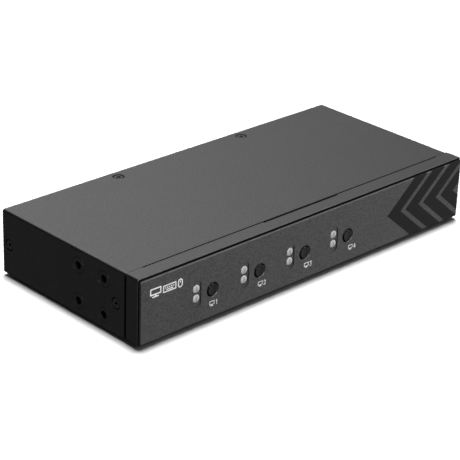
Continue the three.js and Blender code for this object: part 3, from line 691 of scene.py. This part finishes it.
def cover_outline(steps=10):
    """The folded sheet seen from the front, once round its outside and back along its inside."""
    x, top = COVER_HIGH.x, TOP_Z
    inner = BEND - SHEET
    outside = arc(x - BEND, top - BEND, BEND, 0, 90, steps)
    outside += arc(-x + BEND, top - BEND, BEND, 90, 180, steps)
    inside = arc(-x + BEND, top - BEND, inner, 180, 90, steps)
    inside += arc(x - BEND, top - BEND, inner, 90, 0, steps)
    corners = [(x, BOTTOM_Z)] + outside + [(-x, BOTTOM_Z), (-x + SHEET, BOTTOM_Z)]
    return corners + inside + [(x - SHEET, BOTTOM_Z)]


def ear_bore(side, place, depth):
    """A plain hole through the sheet and its collar."""
    return rod(EAR_HOLES["radius"], -depth - 1, 1, side, place)


def threaded_insert(side, place, depth):
    """A blind insert in an ear hole, threads as stacked ridges; its near-black finish is painted shade that
    keeps the hole dark.
    """
    pitch = 0.8
    outer = EAR_HOLES["radius"] - 0.01
    crest, root = outer - 0.42, outer - 0.16
    mouth = -0.12
    section = [(crest, mouth - 0.3), (outer, mouth), (outer, -depth)]
    height = -depth
    while height < mouth - 0.3 - pitch:
        section += [(crest, height), (root, height + pitch / 2)]
        height += pitch
    back = rod(outer, -depth - 0.6, -depth + 0.1, side, place)
    return merged([turned_ring(section, side, place), back])


def top_cover():
    collar_depth = SHEET + 1.4
    front, rear = COVER_LOW.y, COVER_HIGH.y
    shell = prism(cover_outline(), front, rear)
    holes = ear_hole_places()
    collars = [rod(EAR_HOLES["collar"], -collar_depth, -SHEET / 2, side, p) for side, p in holes]
    shell = boolean(shell, collars, "UNION")
    groove = EAR_HOLES["ring"]
    groove_section = [(groove - 0.36, 0.4), (groove + 0.36, 0.4)]
    groove_section += [(groove + 0.1, -0.24), (groove - 0.1, -0.24)]
    cuts = [ear_bore(side, p, collar_depth) for side, p in holes]
    cuts += [turned_ring(groove_section, side, p, 64) for side, p in holes]
    cuts += [turned(countersunk_profile(HOLE_CLEARANCE), way, p) for p, way in screw_places]
    shape = boolean(shell, cuts)
    piece("cover_shell", shape, finishes["case"], replaces=["top_cover"], bevel=0.12)
    inserts = [threaded_insert(side, p, collar_depth) for side, p in holes]
    # The inserts carry painted shade, so the ear holes read dark.
    piece("ear_inserts_painted_shade", merged(inserts), finishes["painted_shade"])


top_cover()
chassis = cad_copy("base_chassis")
piece("chassis_tray", chassis, finishes["case"], replaces=["base_chassis"], bevel=0.10)

# ------------------------------------------------------------------------------------------------
# Front bezel and plate
# ------------------------------------------------------------------------------------------------

BEZEL_CORNER = 1.6
PLATE_CORNER = 1.5
PLATE_EDGE = 0.72
RIM_Y = FRONT_Y + 1.65  # the bezel's rim, behind a shadow gap
PLATE_BACK = PLATE_HIGH.y
PLATE_EDGES = (PLATE_LOW.x, PLATE_HIGH.x, PLATE_LOW.z, PLATE_HIGH.z)
BEZEL_TOP = BEZEL_HIGH.z
BEZEL_EDGES = (BEZEL_LOW.x, BEZEL_HIGH.x, BOTTOM_Z, BEZEL_TOP)
SEAM_Y = COVER_LOW.y

# How far the seam between bezel and cover opens forwards of the cover's edge, along each stretch
SEAM = {"middle": 2.5, "straight": 1.55, "corner": 0.75, "side": 2.0}
SEAM_NOTCH_X = 33.0
SEAM_CORNER = 13.0
SEAM_SIDE_X = 141.1

BUTTON_HOLE = 4.6
HOLE_EASE = 0.24
LAMP_HOLE = 3.0
buttons = {n: centre(f"button_cap_{n}") for n in CHANNELS}
lamps = {(n, level): centre(f"lamp_{n}_{level}") for n in CHANNELS for level in ("upper", "lower")}


def inset(edges, by):
    x0, x1, z0, z1 = edges
    return x0 + by, x1 - by, z0 + by, z1 - by


def eased_slab(edges, corner, edge, front, back, steps=5):
    """A rounded rectangle in X and Z whose front edge is rounded over."""
    levels = []
    for by, depth in quarter_round(edge, steps):
        levels.append((rounded(*inset(edges, by), corner - by), front + depth))
    levels.append((rounded(*edges, corner), back))
    return lofted(levels)


def lamp_pair(number):
    upper, lower = lamps[number, "upper"], lamps[number, "lower"]
    return upper.x, (upper.z + lower.z) / 2, upper.z - lower.z


def front_panel():
    plate = eased_slab(PLATE_EDGES, PLATE_CORNER, PLATE_EDGE, FRONT_Y, PLATE_BACK, 6)
    mouth = BUTTON_HOLE + HOLE_EASE
    button_hole = [(0, -1), (mouth, -1), (mouth, 0), (BUTTON_HOLE, HOLE_EASE), (BUTTON_HOLE, 4), (0, 4)]
    pocket_shift, pocket_width, pocket_height, pocket_depth = 0.15, 6.7, 17.1, 0.5
    cuts = []
    for n in CHANNELS:
        cuts.append(turned(button_hole, BACK, (buttons[n].x, FRONT_Y, buttons[n].z), 72))
        x, z, _ = lamp_pair(n)
        pocket = obround(x + pocket_shift, z, pocket_width, pocket_height, 28)
        cuts.append(prism(pocket, FRONT_Y - 1, FRONT_Y + pocket_depth))
    plate = boolean(plate, cuts)
    bores = [rod(LAMP_HOLE, -1, 4, BACK, (c.x, FRONT_Y, c.z), 48) for c in lamps.values()]
    plate = boolean(plate, bores)
    piece("plate_fascia", plate, finishes["plate"], replaces=["front_panel"], bevel=0.05)


def hole_edges():
    """The bare metal left by the chamfers of the four button holes."""
    inner, outer = BUTTON_HOLE, BUTTON_HOLE + HOLE_EASE
    section = [(inner, HOLE_EASE), (outer, 0.0), (outer + 0.02, 0.05), (inner + 0.02, 0.29)]
    rings = [turned_ring(section, BACK, (buttons[n].x, FRONT_Y - 0.02, buttons[n].z), 72) for n in CHANNELS]
    piece("hole_edges", merged(rings), finishes["edge"])


def bezel_lip():
    """Tucks under the cover's front edge on three sides."""
    x, top, thickness = 140.8, TOP_Z - SHEET - 0.3, 1.2
    back = BEZEL_HIGH.y
    front = back - 5.0
    floor = BOTTOM_Z + 1.5
    return [
        block(-x, x, front, back, top - thickness, top),
        block(-x, -x + thickness, front, back, floor, top),
        block(x - thickness, x, front, back, floor, top),
    ]


def front_bezel():
    shell_back = BEZEL_HIGH.y - 3.0
    shell = eased_slab(BEZEL_EDGES, BEZEL_CORNER, 0.45, RIM_Y, shell_back, 4)
    plinth_outline = rounded(*inset(PLATE_EDGES, 0.8), PLATE_CORNER)
    plinth = prism(plinth_outline, PLATE_BACK + 0.1, RIM_Y + 0.6)
    shell = boolean(shell, [plinth], "UNION")
    wall = 3.3
    inner_y = PLATE_BACK + 2.2
    x0, x1, z0, _ = BEZEL_EDGES
    cuts = [block(x0 + wall, x1 - wall, inner_y, shell_back + 1, z0 + 1.8, TOP_Z - 2.7)]
    for n in CHANNELS:
        cuts.append(rod(BUTTON_HOLE, -1, 5, BACK, (buttons[n].x, FRONT_Y, buttons[n].z)))
        x, z, pitch = lamp_pair(n)
        cuts.append(prism(obround(x, z, 6.4, pitch + 6.4), FRONT_Y, FRONT_Y + 5))
    straight = x1 - SEAM_CORNER
    top_wall = (TOP_Z - SHEET, BEZEL_TOP + 1)
    side_wall = (BOTTOM_Z - 1, TOP_Z - 0.9)
    cuts += [
        block(-straight, straight, SEAM_Y - SEAM["straight"], SEAM_Y + 1, *top_wall),
        block(-SEAM_NOTCH_X, SEAM_NOTCH_X, SEAM_Y - SEAM["middle"], SEAM_Y + 1, *top_wall),
        block(x0 - 1, -SEAM_SIDE_X, SEAM_Y - SEAM["side"], SEAM_Y + 1, *side_wall),
        block(SEAM_SIDE_X, x1 + 1, SEAM_Y - SEAM["side"], SEAM_Y + 1, *side_wall),
        block(-SEAM_SIDE_X, -straight, SEAM_Y - SEAM["corner"], SEAM_Y + 1, *top_wall),
        block(straight, SEAM_SIDE_X, SEAM_Y - SEAM["corner"], SEAM_Y + 1, *top_wall),
    ]
    shape = boolean(shell, cuts)
    shape = boolean(shape, bezel_lip(), "UNION")
    piece("bezel_frame", shape, finishes["bezel"], replaces=["front_bezel"], bevel=0.08)


def seam_painted_shade():
    """A black strip in the seam between bezel and cover, just below the bezel's surface: painted shade that
    keeps the seam dark.
    """
    sunk = 0.28
    floor = BOTTOM_Z + 0.6
    slack = 0.05
    outer, inner = BEZEL_HIGH.x - sunk, SEAM_SIDE_X + slack
    side_front, side_top = SEAM_Y - SEAM["side"] + slack, TOP_Z - 1.0
    top, under = BEZEL_TOP - sunk, TOP_Z - SHEET - 0.15
    back = SEAM_Y - 0.04
    shapes = [
        block(-SEAM_NOTCH_X, SEAM_NOTCH_X, SEAM_Y - SEAM["middle"] + slack, back, under, top),
        block(-outer, -inner, side_front, back, floor, side_top),
        block(inner, outer, side_front, back, floor, side_top),
    ]
    for side in (-1, 1):
        x0, x1 = sorted((side * (SEAM_NOTCH_X + 0.1), side * (BEZEL_HIGH.x - SEAM_CORNER - 0.2)))
        shapes.append(block(x0, x1, SEAM_Y - SEAM["straight"] + slack, back, under, top))
        x0, x1 = sorted((side * (BEZEL_HIGH.x - SEAM_CORNER - 0.1), side * inner))
        shapes.append(block(x0, x1, SEAM_Y - SEAM["corner"] + slack, back, under, top))
    piece("seam_painted_shade", merged(shapes), finishes["painted_shade"])


def plate_painted_shade():
    """A black frame on the bezel's rim, in the shadow gap round the plate: painted shade that keeps the gap
    dark.
    """
    outer = rounded(*inset(BEZEL_EDGES, 0.50), BEZEL_CORNER - 0.50)
    inner = rounded(*inset(PLATE_EDGES, 0.76), PLATE_CORNER)
    frame_band = boolean(prism(outer, RIM_Y - 0.12, RIM_Y + 0.05), [prism(inner, RIM_Y - 1, RIM_Y + 1)])
    piece("plate_painted_shade", frame_band, finishes["painted_shade"])


front_panel()
hole_edges()
front_bezel()
seam_painted_shade()
plate_painted_shade()

# ------------------------------------------------------------------------------------------------
# Buttons, switches and lamps
# ------------------------------------------------------------------------------------------------


def button_cap(number):
    node = f"button_cap_{number}"
    low, high = extent(node)
    face = Vector((buttons[number].x, low.y, buttons[number].z))
    depth = high.y - low.y
    rim = [(4.2 - by, back) for by, back in quarter_round(0.70, 7)]
    dished = [(0, 0.24), (1.2, 0.22), (2.4, 0.13), (3.1, 0.03)]
    flange = [(4.2, depth - 0.9), (5.0, depth - 0.9), (5.0, depth), (0, depth)]
    shape = turned(dished + rim + flange, BACK, face, 72)
    body = f"button_{number}"
    piece(f"button_key_{number}", shape, finishes["button"], body, [node], smooth=45)


def lamp_lens(number, level):
    node = f"lamp_{number}_{level}"
    low, high = extent(node)
    place = Vector((lamps[number, level].x, low.y, lamps[number, level].z))
    depth = high.y - low.y
    dome = [(0, -0.22), (0.8, -0.18), (1.6, -0.05), (2.2, 0.12), (2.55, 0.30), (2.78, 0.55)]
    body = [(2.85, 0.85), (2.85, 3.6), (2.3, 3.6), (2.3, depth), (0, depth)]
    shape = turned(dome + body, BACK, place, 48)
    piece(f"lens_{number}_{level}", shape, finishes["lens"], CASE, [node], smooth=45)


for number in CHANNELS:
    button_cap(number)
    for level in ("upper", "lower"):
        lamp_lens(number, level)
    for part, slot, body, finish in (
        ("switch_plunger", "button_plastic", f"button_{number}", "button"),
        ("switch_body", "bright_screw", CASE, "shell"),
    ):
        node = f"{part}_{number}"
        piece(f"{node}_part", cad_copy(node), finishes[finish], body, [node], bevel=0.15)

# ------------------------------------------------------------------------------------------------
# Printed marks on the plate
# ------------------------------------------------------------------------------------------------

INK_FRONT = FRONT_Y - 0.03
INK_BACK = FRONT_Y + 0.02
LABEL = {"first_x": -84.1, "pitch": 40.4, "z": 11.85, "height": 2.9, "stroke": 0.44}

# Strokes of the numerals, across and up from the lower left corner, in a box 1.8 by 3
NUMERALS = {
    1: [(0.2, 2.3), (1.0, 3.0), (1.0, 0.0)],
    2: [(0.1, 2.2), (0.4, 2.8), (0.9, 3.0), (1.4, 2.8), (1.6, 2.2), (1.4, 1.5), (0.1, 0.0), (1.7, 0.0)],
    3: [(0.1, 3.0), (1.6, 3.0), (0.8, 1.8), (1.4, 1.5), (1.6, 0.9), (1.3, 0.2), (0.8, 0.0), (0.1, 0.3)],
    4: [(1.3, 0.0), (1.3, 3.0), (0.1, 0.9), (1.8, 0.9)],
}


def flat(outline):
    return prism(outline, INK_FRONT, INK_BACK)


def frame_of(outer, inner):
    return boolean(flat(outer), [prism(inner, INK_FRONT - 1, INK_BACK + 1)])


def stroke(points, width):
    """A polyline of even width with round joints."""
    shapes = []
    for (x0, z0), (x1, z1) in zip(points, points[1:]):
        run = math.hypot(x1 - x0, z1 - z0)
        dx, dz = (x1 - x0) / run * width / 2, (z1 - z0) / run * width / 2
        shapes.append(flat([(x0 - dz, z0 + dx), (x0 + dz, z0 - dx), (x1 + dz, z1 - dx), (x1 - dz, z1 + dx)]))
    shapes += [flat(arc(x, z, width / 2, 0, 345, 23)) for x, z in points]
    first = shapes.pop(0)
    return boolean(first, shapes, "UNION")


def boxed(x, z, width, height, line, radius=0.35):
    """The outline of a rounded box, `line` thick, with its lower left corner at x, z."""
    outer = rounded(x, x + width, z, z + height, radius, 5)
    inner = rounded(x + line, x + width - line, z + line, z + height - line, radius * 0.5, 5)
    return frame_of(outer, inner)


def screen_sign(x, z, width, height, line):
    """A screen on a stand."""
    foot = line
    neck = line
    middle = x + width / 2
    return [
        boxed(x, z + foot + neck, width, height - foot - neck, line),
        flat(rectangle(middle - line * 0.7, middle + line * 0.7, z + foot, z + foot + neck)),
        flat(rectangle(middle - width * 0.28, middle + width * 0.28, z, z + foot)),
    ]


def channel_label(number):
    """A small screen and the computer's number, under each button."""
    x = LABEL["first_x"] + (number - 1) * LABEL["pitch"] - 3.4
    z = LABEL["z"] - LABEL["height"] / 2
    scale = LABEL["height"] / 3.0
    points = [(x + 5.0 + px * scale, z + pz * scale) for px, pz in NUMERALS[number]]
    shapes = screen_sign(x, z - 0.25, 4.0, 3.5, LABEL["stroke"])
    shapes.append(stroke(points, LABEL["stroke"]))
    piece(f"mark_channel_{number}", merged(shapes), finishes["white_ink"])


def function_sign():
    """Screen, keyboard and mouse: what the switch shares."""
    x, z, line = -134.85, 31.15, 0.80
    shapes = screen_sign(x, z, 8.6, 6.0, line)
    keys_x = x + 9.9
    shapes.append(boxed(keys_x, z + 0.5, 10.4, 4.8, line))
    for i in range(5):
        key = keys_x + 1.5 + i * 1.58
        shapes.append(flat(rectangle(key, key + 0.95, z + 3.0, z + 3.85)))
    shapes.append(flat(rectangle(keys_x + 2.4, keys_x + 8.0, z + 1.75, z + 2.45)))
    mouse_x = keys_x + 13.5
    outer = obround(mouse_x, z + 2.9, 3.8, 5.8)
    inner = obround(mouse_x, z + 2.9, 3.8 - 2 * line, 5.8 - 2 * line)
    shapes.append(frame_of(outer, inner))
    shapes.append(flat(rectangle(mouse_x - 0.35, mouse_x + 0.35, z + 3.2, z + 4.4)))
    piece("mark_function", merged(shapes), finishes["white_ink"])


def chevron_bands():
    """Plain nested chevrons across the plate's right end, printed over its rounded edge too."""
    _, _, z0, z1 = PLATE_EDGES
    middle, half = (z0 + z1) / 2, (z1 - z0) / 2 + 2
    run = half * 1.19
    first, width, pitch = 70.1, 12.9, 17.65
    film = 0.03
    over = inset(PLATE_EDGES, -film)
    ink = eased_slab(over, PLATE_CORNER + film, PLATE_EDGE + film, FRONT_Y - film, FRONT_Y + 1.0, 6)
    plate = eased_slab(PLATE_EDGES, PLATE_CORNER, PLATE_EDGE, FRONT_Y, FRONT_Y + 2.0, 6)
    bands = []
    for i in range(4):
        tip = first + i * pitch
        far = tip + run
        outer = [(far, middle + half), (tip, middle), (far, middle - half)]
        inner = [(far + width, middle - half), (tip + width, middle), (far + width, middle + half)]
        bands.append(prism(outer + inner, FRONT_Y - 1, FRONT_Y + 0.9))
    skin = boolean(ink, [plate])
    piece("band_chevrons", boolean(skin, [merged(bands)], "INTERSECT"), finishes["dark_ink"])


for number in CHANNELS:
    channel_label(number)
function_sign()
chevron_bands()

# ------------------------------------------------------------------------------------------------
# Rear ports
# ------------------------------------------------------------------------------------------------


def video_outline(x, half, z0, z1, cut):
    return [
        (x + half, z1),
        (x - half, z1),
        (x - half, z0 + cut),
        (x - half + cut, z0),
        (x + half - cut, z0),
        (x + half, z0 + cut),
    ]


def video_port(node):
    """A nickel shell with chamfered lower corners, its black insert and two rows of contacts."""
    low, high = extent(node)
    x, half, mouth = (low.x + high.x) / 2, (high.x - low.x) / 2, high.y
    wall, cut, deep = 0.45, 1.4, 8.5

    def outline(by):
        return video_outline(x, half - by, low.z + by, high.z - by, cut)

    shell = prism(outline(0), low.y, mouth)
    hollow = lofted([
        (outline(wall), mouth - deep),
        (outline(wall), mouth - 0.5),
        (outline(wall - 0.3), mouth + 0.02),
    ])
    shell = boolean(shell, [hollow])
    piece(f"{node}_shell", shell, finishes["shell"], CASE, [node], bevel=0.10)
    middle = (low.z + high.z) / 2
    back = prism(outline(wall + 0.03), mouth - deep + 0.02, mouth - deep + 1.0)
    tip_y = mouth - 1.4
    tongue = lofted([
        (rectangle(x - 5.5, x + 5.5, middle - 0.3, middle + 0.3), tip_y),
        (rectangle(x - 5.7, x + 5.7, middle - 0.55, middle + 0.55), tip_y - 0.5),
        (rectangle(x - 5.7, x + 5.7, middle - 0.55, middle + 0.55), mouth - deep + 0.5),
    ])
    insert = boolean(back, [tongue], "UNION")
    piece(f"{node}_insert", insert, finishes["tongue"], bevel=0.05)
    contacts = []
    for count, z in ((10, middle + 0.55), (9, middle - 0.55)):
        for i in range(count):
            centre_x = x + i - (count - 1) / 2
            left, right = centre_x - 0.22, centre_x + 0.22
            contacts.append(block(left, right, mouth - deep + 1, tip_y - 0.6, z - 0.05, z + 0.05))
    piece(f"{node}_contacts", merged(contacts), finishes["gold"])


def usb_b_port(node):
    """A square shell whose mouth has cut upper corners, round a black block with four contacts."""
    low, high = extent(node)
    x, mouth = (low.x + high.x) / 2, high.y
    half, tall, deep, notch = 4.3, 7.9, 10.0, 1.7
    middle = (low.z + high.z) / 2
    z0 = middle - tall / 2
    z1 = z0 + tall
    opening = [
        (x + half, z0),
        (x + half, z1 - notch),
        (x + half - notch, z1),
        (x - half + notch, z1),
        (x - half, z1 - notch),
        (x - half, z0),
    ]
    shell = block(low.x, high.x, low.y, mouth, low.z, high.z)
    shell = boolean(shell, [prism(opening, mouth - deep, mouth + 1)])
    piece(f"{node}_shell", shell, finishes["shell"], CASE, [node], bevel=0.18)
    tongue = block(x - 2.8, x + 2.8, mouth - deep - 0.02, mouth - 1.2, middle - 1.6, middle + 1.6)
    piece(f"{node}_insert", tongue, finishes["tongue"], bevel=0.15)
    contacts = []
    for side in (-1.25, 1.25):
        for z in (middle - 1.62, middle + 1.62):
            contacts.append(block(x + side - 0.5, x + side + 0.5, mouth - 8, mouth - 2, z - 0.06, z + 0.06))
    piece(f"{node}_contacts", merged(contacts), finishes["gold"])


def usb_a_stack(node):
    """Two mouths, one above the other, with sprung shells."""
    low, high = extent(node)
    x, mouth = (low.x + high.x) / 2, high.y
    half, tall, deep = 6.25, 5.1, 12.0
    levels = [low.z + rise for rise in (4.1, 11.7)]
    cuts = [block(x - half, x + half, mouth - deep, mouth + 1, z - tall / 2, z + tall / 2) for z in levels]
    shell = boolean(block(low.x, high.x, low.y, mouth, low.z, high.z), cuts)
    piece(f"{node}_shell", shell, finishes["shell"], CASE, [node], bevel=0.16)
    tongues, contacts, springs = [], [], []
    for z in levels:
        tongues.append(block(x - 5.55, x + 5.55, mouth - deep - 0.02, mouth - 0.9, z + 0.15, z + 1.95))
        for offset in (-3.5, -1.0, 1.0, 3.5):
            left, right = x + offset - 0.5, x + offset + 0.5
            contacts.append(block(left, right, mouth - 9, mouth - 1.6, z + 0.08, z + 0.2))
        for offset in (-3.1, 3.1):
            left, right = x + offset - 1.0, x + offset + 1.0
            bottom = z - tall / 2
            leaf = [(mouth - 1.2, 0.02), (mouth - 4.0, 0.75), (mouth - 6.5, 0.02)]
            rings = []
            for y, rise in leaf:
                outline = rectangle(left, right, bottom + rise - 0.02, bottom + rise + 0.2)
                rings.append((outline, y))
            springs.append(lofted(rings))
    piece(f"{node}_inserts", merged(tongues), finishes["tongue"], bevel=0.12)
    piece(f"{node}_contacts", merged(contacts), finishes["gold"])
    piece(f"{node}_springs", merged(springs), finishes["shell"], bevel=0.04)


def audio_jacks():
    """Two sockets: black barrels with plated sleeves."""
    low, high = extent("audio_jacks")
    x, z, mouth = (low.x + high.x) / 2, (low.z + high.z) / 2, high.y
    face = REAR_Y - SHEET - 0.3
    housing = block(low.x, high.x, low.y, face, low.z, high.z)
    places = [Vector((x + offset, mouth, z)) for offset in (-6.25, 6.25)]
    barrel = [(0, 0), (3.5, 0), (3.9, -0.4), (3.9, -4.0), (0, -4.0)]
    housing = boolean(housing, [turned(barrel, BACK, p) for p in places], "UNION")
    housing = boolean(housing, [rod(2.5, -11.5, 1, BACK, p) for p in places])
    piece("audio_housing", housing, finishes["black"], replaces=["audio_jacks"], bevel=0.10)
    sleeve = [(1.8, -0.15), (2.0, 0.05), (2.45, 0.05), (2.48, -0.1), (2.48, -8.0), (1.8, -8.0)]
    sleeves = [turned_ring(sleeve, BACK, p) for p in places]
    piece("audio_sleeves", merged(sleeves), finishes["shell"])


def power_inlet():
    """A black barrel inlet with a plated pin."""
    low, high = extent("power_inlet")
    mouth = high.y
    place = Vector(((low.x + high.x) / 2, mouth, low.z + 6.1))
    housing = block(low.x, high.x, low.y, mouth, low.z, high.z)
    bore = [(0, 1), (3.6, 1), (3.6, 0), (3.2, -0.5), (3.2, -10), (0, -10)]
    housing = boolean(housing, [turned(bore, BACK, place)])
    piece("power_housing", housing, finishes["black"], replaces=["power_inlet"], bevel=0.22)
    pin = [(0, -1.4), (0.6, -1.5), (0.95, -1.9), (1.0, -2.4), (1.0, -10.5), (0, -10.5)]
    piece("power_pin", turned(pin, BACK, place), finishes["bright_screw"])


video_port("console_video_port")
for number in CHANNELS:
    video_port(f"computer_video_port_{number}")
    usb_b_port(f"computer_usb_port_{number}")
usb_a_stack("keyboard_mouse_ports")
usb_a_stack("usb_hub_ports")
audio_jacks()
power_inlet()

# ------------------------------------------------------------------------------------------------
# Feet and the parts inside
# ------------------------------------------------------------------------------------------------


def foot(number):
    node = f"foot_{number}"
    low, high = extent(node)
    middle = (low + high) / 2
    tall, radius = high.z - low.z, (high.x - low.x) / 2
    profile = [(0, 0.25), (radius - 1.9, 0.25), (radius - 1.6, 0.0), (radius - 0.9, 0.0)]
    profile += [(radius - 0.4, 0.12), (radius - 0.1, 0.40), (radius, 0.85), (radius, tall), (0, tall)]
    shape = turned(profile, UP, (middle.x, middle.y, low.z), 64)
    piece(f"foot_pad_{number}", shape, finishes["rubber"], CASE, [node], smooth=45)


for number in (1, 2, 3, 4):
    foot(number)

INSIDE = [
    ("board_laminate", "mask", ["front_board", "main_board"]),
    ("black_plastic", "black", ["ribbon_header_front", "ribbon_header_main", "switch_chip"]),
    ("ribbon_grey", "ribbon", ["ribbon_cable"]),
    ("heatsink_alloy", "alloy", ["heatsink"]),
]
for slot, finish, nodes in INSIDE:
    for node in nodes:
        piece(f"{node}_part", cad_copy(node), finishes[finish], CASE, [node], bevel=0.12)
